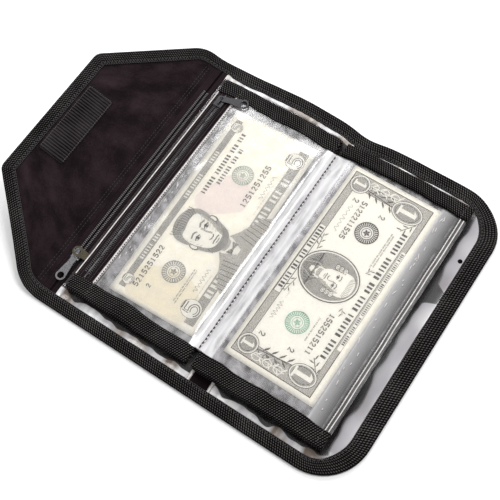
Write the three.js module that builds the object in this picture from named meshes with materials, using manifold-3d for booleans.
// Cash envelope wallet, lying open: a bound nylon cover with a raised flap, two clear cover pockets and
// four clear zip leaves sewn into the spine. Millimetres. X runs along the spine, +Y towards the flap, +Z up.
// Lengths along Y are counted from the leaf seam, and the finished pieces are moved together so that the
// origin lies under the middle of the whole. Layers are listed from the table upwards.
import * as THREE from 'three';
import { mergeVertices } from 'three/addons/utils/BufferGeometryUtils.js';
import ManifoldModule from 'manifold-3d';

const wasm = await ManifoldModule();
wasm.setup();

// Clearances
const layGap = 0.3; // between sheets that lie on each other
const runGap = 0.2; // round a zip slider
const liftGap = 0.15; // pull and coil over the plate below them

// Notes, which set the size of the leaves
const noteLong = 156;
const noteWide = 66.3;
const noteThick = 0.2;
const fiveFromSeam = 9.85;
const fiveTurn = 1.6; // degrees askew
const fiveShift = -0.5;
const oneFromSeam = 14.85;
const oneTurn = -0.5;
const oneShift = 3;

// Bindings: one folded tape round the cover, one on each side of a leaf
const tapeThick = 0.5;
const coverBind = 9.5;
const leafBind = 11.5;

// Zips
const zipSlot = 1.2; // between the two coil rows
const zipTape = 0.3;
const zipTuck = 2; // tape under the film's edge
const zipSlope = 1.6;
const coverZipSlope = 1;
const coilWide = 1.8;
const coilHigh = 0.65;
const leafTapeDrop = 0.5; // sewn edge of the tape below its coil edge
const mouthToZip = 7.5; // film's mouth edge to the slot of its zip
const zipToEnd = 6.5; // slot to the end of the leaf
const coilInset = 2.5; // end of the coil to the leaf's binding

// Leaves: lengths run from the seam outwards
const film = 0.3;
const noteSide = 4.5; // note to the leaf's binding
const noteMouth = 1.35; // note to the tape's edge
const leafWidth = noteLong + 2 * (noteSide + leafBind);
const filmEdge = oneFromSeam + noteWide + noteMouth + zipTuck;
const zipLine = filmEdge + mouthToZip;
const leafLength = zipLine + zipToEnd;
const coilLength = leafWidth - 2 * (leafBind + coilInset);
const leafSlot = 1.5; // outside of one film to the outside of the other
const seamReach = 4; // each film past the seam
const bindStart = 2.5;
const filmShoulder = 0.6; // the films widen just short of the bindings
const rampStart = 4.4;
const rearRampEnd = 7.4;
const frontRampEnd = 14;

// Cover pockets
const rearPocketHem = -5;
const rearPocketRise = leafLength + 0.5;
const rearPocketEdge = leafLength + 5;
const coverZipLine = rearPocketEdge + 4.8;
const coverTapeHem = coverZipLine + 7.2;
const frontPocketEdge = -18;
const ventRadius = 1.6;
const ventInset = 50.4; // from the cover's side
const ventFromEnd = 14.4;

// Cover: outline in the flat, then bent up at the flap
const leafSide = 6.5; // leaf to the cover's binding
const leafFront = 14;
const foldPastZip = 1.7;
const coverWidth = leafWidth + 2 * (leafSide + coverBind);
const frontLength = leafLength + leafFront + coverBind; // seam to the front end
const foldStart = coverZipLine + foldPastZip; // seam to the start of the flap's fold
const foldRadius = 26;
const flapLift = 23; // degrees the flap stands up from the table
const flapLength = 77; // fold start to the tip, along the cloth
const flapShoulder = 20; // fold start to the end of the straight sides
const flapSlant = 54; // the tip is narrower by this on each side
const tipWidth = coverWidth - 2 * flapSlant;
const frontCorner = 27;
const shoulderCorner = 22;
const tipCorner = 5;
const outerCloth = 0.5;
const liningCloth = 0.5;
const clothGap = 0.2;
const closedThick = 12; // the wallet shut, from cover to cover

// Slider and pull
const sliderLong = 8.5;
const sliderWide = 6.4;
const sliderPlate = 0.45;
const dividerLong = 3;
const dividerWide = 0.8;
const bridgeLeg = 1;
const bridgeSpan = 4.4; // between the two legs' middles
const bridgeBar = 0.4;
const pullThick = 0.6;
const pullLong = 20.5; // eye middle to ring end
const pullNeck = 4.4;
const pullWide = 7.2;
const pullEye = 1.3;
const pullRing = 2.4;
const eyeRim = 0.9;
const ringInset = 4;
const travelStop = 0.75; // slider to the end of the coil
const travel = coilLength / 2 - sliderLong / 2 - travelStop; // of a slider, each way from the middle

// Hook and loop patches
const patchLong = 58;
const patchWide = 20;
const hookThick = 1;
const patchCorner = 3;

// Seam stitch
const stitchWide = 0.8;
const stitchHigh = 0.45;

// Heights that follow from the layers
const coverBase = tapeThick + layGap;
const coverThick = outerCloth + clothGap + liningCloth;
const coverTop = coverBase + coverThick;
const bindIn = tapeThick + layGap; // edge of the cloth or film inside its folded tape
const pocketLow = coverTop + layGap;
const pocketTop = pocketLow + film;
const leafHeight = 2 * tapeThick + 2 * layGap + leafSlot;
const backLow = bindIn;
const frontLow = bindIn + leafSlot - film;
const plateLow = backLow + film + runGap;
const tapeHigh = plateLow + sliderPlate + runGap;
const coilLow = tapeHigh + zipTape + liftGap;
const plateHigh = coilLow + coilHigh + liftGap;
const pullLow = plateHigh + sliderPlate + liftGap;
const barLow = pullLow + pullThick + liftGap;
const sliderTop = barLow + bridgeBar;
const leafPitch = sliderTop + runGap - backLow;
const seamPitch = leafHeight + layGap;
const rearBase = pocketTop + layGap;
const frontBase = pocketTop + runGap + sliderTop - leafHeight;
const seamStagger = 2 * film;

// The cover zip's heights over the underside of the cloth
const coverPlate = coverThick + runGap;
const coverTape = coverPlate + sliderPlate + runGap;
const coverShift = coverPlate - plateLow;

const root = new THREE.Group();
root.name = 'cash_envelope_wallet';

const looks = {
  cloth: { color: 0x151416, roughness: 0.85 },
  lining: { color: 0x241d20, roughness: 0.7 },
  binding: { color: 0x111112, roughness: 0.8 },
  clear: { color: 0xe4e6ea, roughness: 0.15 },
  zipTape: { color: 0x19171a, roughness: 0.8 },
  coil: { color: 0x2a282b, roughness: 0.5 },
  metal: { color: 0x5b5d60, roughness: 0.35, metalness: 1 },
  patch: { color: 0x1b191a, roughness: 0.95 },
  thread: { color: 0xd8d8d8, roughness: 0.7 },
  paper: { color: 0xe9e2c9, roughness: 0.8 },
};

// Helpers

// A closed mesh from points and triangles, turned to face outwards
function shell(points, triangles) {
  const geometry = new THREE.BufferGeometry();
  geometry.setAttribute('position', new THREE.Float32BufferAttribute(points.flat(), 3));
  geometry.setIndex(triangles.flat());
  return faceOut(geometry);
}

function faceOut(geometry) {
  const p = geometry.attributes.position;
  const index = geometry.index;
  const a = new THREE.Vector3();
  const b = new THREE.Vector3();
  const c = new THREE.Vector3();
  let volume = 0;
  for (let i = 0; i < index.count; i += 3) {
    a.fromBufferAttribute(p, index.getX(i));
    b.fromBufferAttribute(p, index.getX(i + 1));
    c.fromBufferAttribute(p, index.getX(i + 2));
    volume += a.dot(b.cross(c));
  }
  if (volume < 0) {
    for (let i = 0; i < index.count; i += 3) {
      const second = index.getX(i + 1);
      index.setX(i + 1, index.getX(i + 2));
      index.setX(i + 2, second);
    }
  }
  geometry.computeVertexNormals();
  return geometry;
}

// Moves every vertex with a function (x, y, z) -> [x, y, z]
function mapped(geometry, move) {
  const bare = new THREE.BufferGeometry();
  bare.setAttribute('position', geometry.attributes.position.clone());
  bare.setIndex(geometry.index ? geometry.index.clone() : null);
  const joined = mergeVertices(bare, 1e-4);
  const p = joined.attributes.position;
  for (let i = 0; i < p.count; i += 1) {
    p.setXYZ(i, ...move(p.getX(i), p.getY(i), p.getZ(i)));
  }
  return faceOut(joined);
}

// Two rings of equal length joined by a band of triangles
function band(triangles, ringA, ringB, closed) {
  const last = closed ? ringA.length : ringA.length - 1;
  for (let i = 0; i < last; i += 1) {
    const j = (i + 1) % ringA.length;
    triangles.push([ringA[i], ringB[i], ringB[j]], [ringA[i], ringB[j], ringA[j]]);
  }
}

// A section of constant vertex count carried along a run of stations; the ends are capped
function run(stations) {
  const points = stations.flat();
  const count = stations[0].length;
  const triangles = [];
  const ring = (k) => Array.from({ length: count }, (unused, i) => k * count + i);
  for (let k = 0; k + 1 < stations.length; k += 1) {
    band(triangles, ring(k), ring(k + 1), true);
  }
  for (const [k, turn] of [[0, 1], [stations.length - 1, -1]]) {
    const flat = stations[k].map((q) => new THREE.Vector2(q[0], q[2]));
    const way = turn * Math.sign(THREE.ShapeUtils.area(flat));
    for (const t of THREE.ShapeUtils.triangulateShape(flat, [])) {
      const same = THREE.ShapeUtils.area(t.map((i) => flat[i])) * way > 0;
      const [a, b, c] = t.map((i) => k * count + i);
      triangles.push(same ? [a, b, c] : [a, c, b]);
    }
  }
  return shell(points, triangles);
}

// A flat sheet: rows of { x, y, low } and a thickness, placed by a function (y, z) -> [y, z]
function sheet(rows, thick, place) {
  return run(rows.map(({ x, y, low }) => {
    const bottom = place(y, low);
    const top = place(y, low + thick);
    return [[-x, ...bottom], [x, ...bottom], [x, ...top], [-x, ...top]];
  }));
}

function toManifold(geometry) {
  const bare = new THREE.BufferGeometry();
  bare.setAttribute('position', geometry.attributes.position.clone());
  bare.setIndex(geometry.index ? geometry.index.clone() : null);
  const joined = mergeVertices(bare, 1e-4);
  return new wasm.Manifold(new wasm.Mesh({
    numProp: 3,
    vertProperties: Float32Array.from(joined.attributes.position.array),
    triVerts: Uint32Array.from(joined.index.array),
  }));
}

function union(geometries) {
  const mesh = wasm.Manifold.union(geometries.map(toManifold)).getMesh();
  const geometry = new THREE.BufferGeometry();
  geometry.setAttribute('position', new THREE.BufferAttribute(Float32Array.from(mesh.vertProperties), 3));
  geometry.setIndex(new THREE.BufferAttribute(Uint32Array.from(mesh.triVerts), 1));
  return geometry;
}

function block(x0, x1, y0, y1, z0, z1) {
  const box = new THREE.BoxGeometry(x1 - x0, y1 - y0, z1 - z0);
  return box.translate((x0 + x1) / 2, (y0 + y1) / 2, (z0 + z1) / 2);
}

function roundedPlate(long, wide, corner) {
  const shape = new THREE.Shape();
  const a = long / 2;
  const b = wide / 2;
  shape.moveTo(-a + corner, -b);
  shape.lineTo(a - corner, -b);
  shape.absarc(a - corner, -b + corner, corner, -Math.PI / 2, 0);
  shape.lineTo(a, b - corner);
  shape.absarc(a - corner, b - corner, corner, 0, Math.PI / 2);
  shape.lineTo(-a + corner, b);
  shape.absarc(-a + corner, b - corner, corner, Math.PI / 2, Math.PI);
  shape.lineTo(-a, -b + corner);
  shape.absarc(-a + corner, -b + corner, corner, Math.PI, 1.5 * Math.PI);
  return shape;
}

function extruded(shape, thick, curveSegments = 4) {
  return new THREE.ExtrudeGeometry(shape, { depth: thick, bevelEnabled: false, curveSegments, steps: 1 });
}

// Adds a piece, moved so that the origin is under the middle of the open wallet
function add(name, geometry, look) {
  geometry.translate(0, -middleY, 0);
  const mesh = new THREE.Mesh(geometry, new THREE.MeshStandardMaterial({ ...looks[look] }));
  mesh.name = name;
  root.add(mesh);
}

// The cover's cloth: length s along it and height n over its underside give y and z
const foldArc = foldRadius * THREE.MathUtils.degToRad(flapLift);
const tipEnd = foldStart + flapLength;

function onCover(s, n) {
  const turn = THREE.MathUtils.clamp((s - foldStart) / foldRadius, 0, foldArc / foldRadius);
  const past = Math.max(0, s - foldStart - foldArc);
  const before = Math.min(s, foldStart);
  const y = before + (foldRadius - n) * Math.sin(turn) + past * Math.cos(turn);
  const z = coverBase + foldRadius - (foldRadius - n) * Math.cos(turn) + past * Math.sin(turn);
  return [y, z];
}

const middleY = (onCover(tipEnd, -layGap - tapeThick)[0] - frontLength) / 2;

// Half of the cover's outline, moved in from the edge by a distance, from the front end to the tip
function coverHalf(inset) {
  const half = coverWidth / 2;
  const corners = [
    { x: half, s: -frontLength, r: frontCorner },
    { x: half, s: foldStart + flapShoulder, r: shoulderCorner },
    { x: tipWidth / 2, s: tipEnd, r: tipCorner },
  ];
  const slant = Math.atan2(flapLength - flapShoulder, half - tipWidth / 2);
  const bend = Math.PI / 2 - slant; // turn at the shoulder
  const moved = [
    { x: half - inset, s: -frontLength + inset, turn: Math.PI / 2 },
    { x: half - inset, s: corners[1].s - inset * Math.tan(bend / 2), turn: bend },
    { x: corners[2].x - inset * Math.tan(slant / 2), s: tipEnd - inset, turn: slant },
  ];
  const points = [];
  let heading = 0; // angle of travel, 0 along +x and a quarter turn along +s
  moved.forEach(({ x, s, turn }, k) => {
    const radius = Math.max(corners[k].r - inset, 0.6);
    const reach = radius * Math.tan(turn / 2);
    const steps = k === 2 ? 3 : 7;
    const startX = x - reach * Math.cos(heading);
    const startS = s - reach * Math.sin(heading);
    const centreX = startX - radius * Math.sin(heading);
    const centreS = startS + radius * Math.cos(heading);
    for (let i = 0; i <= steps; i += 1) {
      const angle = heading + (turn * i) / steps;
      points.push([centreX + radius * Math.sin(angle), centreS - radius * Math.cos(angle)]);
    }
    heading += turn;
    if (k === 0) {
      for (const step of [0, 0.33, 0.67, 1]) {
        points.push([half - inset, foldStart + foldArc * step]);
      }
    }
  });
  return points;
}

function coverCloth(low, thick) {
  const rows = coverHalf(bindIn).map(([x, s]) => ({ x, y: s, low }));
  return sheet(rows, thick, onCover);
}

function coverBinding() {
  const under = () => -layGap;
  const out = () => -layGap - tapeThick;
  const over = (s) => {
    const flat = THREE.MathUtils.clamp((s - coverTapeHem) / (foldStart + foldArc - coverTapeHem), 0, 1);
    return THREE.MathUtils.lerp(coverTape + zipTape + runGap + liftGap, coverThick + layGap, flat);
  };
  const upper = (s) => over(s) + tapeThick;
  const section = [
    [0, out], [coverBind, out], [coverBind, under], [tapeThick, under],
    [tapeThick, over], [coverBind, over], [coverBind, upper], [0, upper],
  ];
  const rings = section.map(([inset, height]) => {
    const half = coverHalf(inset);
    const whole = [...half, ...half.slice().reverse().map(([x, s]) => [-x, s])];
    return whole.map(([x, s]) => [x, ...onCover(s, height(s))]);
  });
  const count = rings[0].length;
  const triangles = [];
  const ring = (k) => Array.from({ length: count }, (unused, i) => (k % rings.length) * count + i);
  for (let k = 0; k < rings.length; k += 1) {
    band(triangles, ring(k), ring(k + 1), true);
  }
  return shell(rings.flat(), triangles);
}

// Leaves. A leaf's own frame: x along the spine, u out from the seam, h up from its lower binding.
function leafFrame({ side, turned, seamBase, restBase, rampEnd }) {
  const base = (u) => {
    const t = THREE.MathUtils.clamp((u - rampStart) / (rampEnd - rampStart), 0, 1);
    return seamBase + (restBase - seamBase) * t;
  };
  return (u, h) => [side * u, base(u) + (turned ? leafHeight - h : h)];
}

function leafFilm(frame, low, far, rampEnd) {
  const inside = leafWidth / 2 - bindIn;
  const tongue = leafWidth / 2 - leafBind - layGap;
  const rows = [
    { x: tongue, y: -seamReach, low },
    { x: tongue, y: bindStart - filmShoulder, low },
    { x: inside, y: bindStart - filmShoulder / 2, low },
    { x: inside, y: rampStart, low },
    { x: inside, y: rampEnd, low },
    { x: inside, y: far, low },
  ];
  return sheet(rows, film, frame);
}

function leafBinding(frame, end, rampEnd) {
  const outer = (end * leafWidth) / 2;
  const wall = outer - end * tapeThick;
  const inner = outer - end * leafBind;
  const section = [
    [outer, 0], [inner, 0], [inner, tapeThick], [wall, tapeThick],
    [wall, leafHeight - tapeThick], [inner, leafHeight - tapeThick], [inner, leafHeight], [outer, leafHeight],
  ];
  const stations = [bindStart, rampStart, rampEnd, leafLength];
  return run(stations.map((u) => section.map(([x, h]) => [x, ...frame(u, h)])));
}

// Sewn tape of a zip: rows from its sewn edge to its coil edge
function zipTapeSheet(rows, half, place) {
  return sheet(rows.map(([y, low]) => ({ x: half, y, low })), zipTape, place);
}

function coilBar(near, far, low, place) {
  const rows = [near, far].map((y) => ({ x: coilLength / 2, y, low }));
  return sheet(rows, coilHigh, place);
}

// Slider round the two coil rows, its middle at x = 0, y = 0; heights as in a leaf
function sliderSolid() {
  const a = sliderLong / 2;
  const b = sliderWide / 2;
  const leg = bridgeLeg / 2;
  const top = plateHigh + sliderPlate;
  const parts = [
    block(-a, a, -b, b, plateLow, plateLow + sliderPlate),
    block(-a, a, -b, b, plateHigh, top),
    block(-dividerLong / 2, dividerLong / 2, -dividerWide / 2, dividerWide / 2, plateLow + 0.1, top - 0.1),
    block(-bridgeSpan / 2 - leg, bridgeSpan / 2 + leg, -leg, leg, barLow, sliderTop),
  ];
  for (const end of [-1, 1]) {
    const x = (end * bridgeSpan) / 2;
    parts.push(block(x - leg, x + leg, -leg, leg, top - 0.1, barLow + 0.1));
  }
  return union(parts);
}

// Pull tab: its eye at the origin, its ring end towards +x
function pullSolid() {
  const eye = pullEye + eyeRim;
  const shape = new THREE.Shape();
  shape.absarc(0, 0, eye, Math.PI * 0.5, Math.PI * 1.5);
  shape.lineTo(pullLong * 0.3, -pullNeck / 2);
  shape.lineTo(pullLong - ringInset, -pullWide / 2);
  shape.absarc(pullLong - ringInset, 0, pullWide / 2, -Math.PI / 2, Math.PI / 2);
  shape.lineTo(pullLong * 0.3, pullNeck / 2);
  shape.closePath();
  const eyeHole = new THREE.Path();
  eyeHole.absarc(0, 0, pullEye, 0, Math.PI * 2, true);
  const ringHole = new THREE.Path();
  ringHole.absarc(pullLong - ringInset, 0, pullRing, 0, Math.PI * 2, true);
  shape.holes.push(eyeHole, ringHole);
  return extruded(shape, pullThick, 10).translate(0, 0, pullLow);
}

// Both metal pieces of a zip: the slider at x, and the pull on the leg on the given end
function addZipMetal(name, { x, end, point }, place) {
  const eyeX = x + (end * bridgeSpan) / 2;
  add(`${name}_slider`, mapped(sliderSolid(), (px, py, pz) => [x + px, ...place(py, pz)]), 'metal');
  const turned = pullSolid().rotateZ(THREE.MathUtils.degToRad(point));
  add(`${name}_pull`, mapped(turned, (px, py, pz) => [eyeX + px, ...place(py, pz)]), 'metal');
}

function addLeaf(name, leaf) {
  const frame = leafFrame(leaf);
  const { rampEnd } = leaf;
  add(`${name}_back_film`, leafFilm(frame, backLow, leafLength, rampEnd), 'clear');
  add(`${name}_zip_film`, leafFilm(frame, frontLow, filmEdge, rampEnd), 'clear');
  add(`${name}_binding_left`, leafBinding(frame, -1, rampEnd), 'binding');
  add(`${name}_binding_right`, leafBinding(frame, 1, rampEnd), 'binding');
  const inside = leafWidth / 2 - bindIn;
  const slot = zipSlot / 2;
  const low = tapeHigh - leafTapeDrop;
  const nearRows = [
    [filmEdge - zipTuck, low], [filmEdge + layGap, low],
    [filmEdge + layGap + zipSlope, tapeHigh], [zipLine - slot, tapeHigh],
  ];
  const farRows = [
    [zipLine + slot, tapeHigh], [leafLength - zipTuck - zipSlope, tapeHigh],
    [leafLength - zipTuck, low], [leafLength, low],
  ];
  add(`${name}_zip_tape_near`, zipTapeSheet(nearRows, inside, frame), 'zipTape');
  add(`${name}_zip_tape_far`, zipTapeSheet(farRows, inside, frame), 'zipTape');
  add(`${name}_zip_coil_near`, coilBar(zipLine - slot - coilWide, zipLine - slot, coilLow, frame), 'coil');
  add(`${name}_zip_coil_far`, coilBar(zipLine + slot, zipLine + slot + coilWide, coilLow, frame), 'coil');
  addZipMetal(`${name}_zip`, leaf.zip, (y, z) => frame(zipLine + leaf.side * y, z));
}

function noteSolid({ side, fromSeam, turn, shift, base }) {
  const low = base + backLow + film + (leafSlot - 2 * film - noteThick) / 2;
  const box = block(-noteLong / 2, noteLong / 2, -noteWide / 2, noteWide / 2, low, low + noteThick);
  box.rotateZ(THREE.MathUtils.degToRad(turn));
  return mapped(box, (x, y, z) => [x + shift, y + side * (fromSeam + noteWide / 2), z]);
}

// Cover
add('cover_outer_cloth', coverCloth(0, outerCloth), 'cloth');
add('cover_lining_cloth', coverCloth(outerCloth + clothGap, liningCloth), 'lining');
add('cover_edge_binding', coverBinding(), 'binding');

const hookCentre = tipEnd - coverBind - layGap - patchWide / 2;
const loopCentre = hookCentre - foldStart - closedThick - frontLength;
const hook = extruded(roundedPlate(patchLong, patchWide, patchCorner), hookThick);
hook.translate(0, hookCentre, coverThick + layGap);
add('hook_patch', mapped(hook, (x, y, z) => [x, ...onCover(y, z)]), 'patch');
const loop = extruded(roundedPlate(patchLong, patchWide, patchCorner), tapeThick);
loop.translate(0, loopCentre, 0);
add('loop_patch', mapped(loop, (x, y, z) => [x, y, z]), 'patch');

// Rear cover pocket and its zip at the flap's fold
const pocketHalf = coverWidth / 2 - bindIn;
const level = pocketLow - coverBase;
add('rear_pocket_film', sheet([
  { x: pocketHalf, y: rearPocketHem, low: level },
  { x: pocketHalf, y: rearPocketRise, low: level },
  { x: pocketHalf, y: rearPocketRise + zipTuck, low: coverTape },
  { x: pocketHalf, y: rearPocketEdge, low: coverTape },
], film, onCover), 'clear');
const coverSlot = zipSlot / 2;
add('cover_zip_tape_near', zipTapeSheet([
  [rearPocketRise + zipTuck + layGap, level], [rearPocketEdge + layGap, level],
  [rearPocketEdge + layGap + coverZipSlope, coverTape], [coverZipLine - coverSlot, coverTape],
], pocketHalf, onCover), 'zipTape');
add('cover_zip_tape_far', zipTapeSheet([
  [coverZipLine + coverSlot, coverTape], [coverZipLine + coverSlot + coilWide, coverTape],
  [coverTapeHem - zipTuck, level], [coverTapeHem, level],
], pocketHalf, onCover), 'zipTape');
const coverCoilLow = coverTape + zipTape + liftGap;
add('cover_zip_coil_near',
  coilBar(coverZipLine - coverSlot - coilWide, coverZipLine - coverSlot, coverCoilLow, onCover), 'coil');
add('cover_zip_coil_far',
  coilBar(coverZipLine + coverSlot, coverZipLine + coverSlot + coilWide, coverCoilLow, onCover), 'coil');
const coverZipPlace = (y, z) => [coverZipLine + y, z + coverShift + coverBase];
addZipMetal('cover_zip', { x: -travel + 5, end: -1, point: 180 }, coverZipPlace);

// Front cover pocket, with a vent punched in it
const frontHalf = coverHalf(bindIn).filter(([, s]) => s < frontPocketEdge);
const frontShape = new THREE.Shape();
[...frontHalf, [pocketHalf, frontPocketEdge]].forEach(([x, s], i) => {
  if (i === 0) frontShape.moveTo(x, s);
  else frontShape.lineTo(x, s);
});
[[pocketHalf, frontPocketEdge], ...frontHalf.slice().reverse()].forEach(([x, s]) => {
  frontShape.lineTo(-x, s);
});
const vent = new THREE.Path();
vent.absarc(coverWidth / 2 - ventInset, ventFromEnd - frontLength, ventRadius, 0, Math.PI * 2, true);
frontShape.holes.push(vent);
const frontFilm = extruded(frontShape, film, 8).translate(0, 0, pocketLow);
add('front_pocket_film', mapped(frontFilm, (x, y, z) => [x, y, z]), 'clear');

// Zip leaves: two on the rear half with their zips up, two on the front half turned over
addLeaf('rear_lower_leaf', {
  side: 1, turned: false, rampEnd: rearRampEnd,
  seamBase: rearBase, restBase: rearBase,
  zip: { x: -travel + 3, end: 1, point: 88 },
});
addLeaf('rear_upper_leaf', {
  side: 1, turned: false, rampEnd: rearRampEnd,
  seamBase: rearBase + seamPitch, restBase: rearBase + leafPitch,
  zip: { x: travel, end: 1, point: -75 },
});
addLeaf('front_lower_leaf', {
  side: -1, turned: true, rampEnd: frontRampEnd,
  seamBase: rearBase + seamStagger, restBase: frontBase,
  zip: { x: -travel + 15, end: 1, point: 90 },
});
addLeaf('front_upper_leaf', {
  side: -1, turned: true, rampEnd: frontRampEnd,
  seamBase: rearBase + seamStagger + seamPitch, restBase: frontBase + leafPitch,
  zip: { x: travel - 15, end: 1, point: 90 },
});

// Stitched seam over all the leaves
const seamTop = rearBase + seamStagger + seamPitch + frontLow + film + liftGap;
const tongueHalf = leafWidth / 2 - leafBind - layGap;
add('seam_thread',
  mapped(block(-tongueHalf, tongueHalf, -stitchWide / 2, stitchWide / 2, seamTop, seamTop + stitchHigh),
    (x, y, z) => [x, y, z]), 'thread');

// Notes in the two upper leaves
add('note_five', noteSolid({
  side: 1, fromSeam: fiveFromSeam, turn: fiveTurn, shift: fiveShift, base: rearBase + leafPitch,
}), 'paper');
add('note_one', noteSolid({
  side: -1, fromSeam: oneFromSeam, turn: oneTurn, shift: oneShift, base: frontBase + leafPitch,
}), 'paper');

export default root;
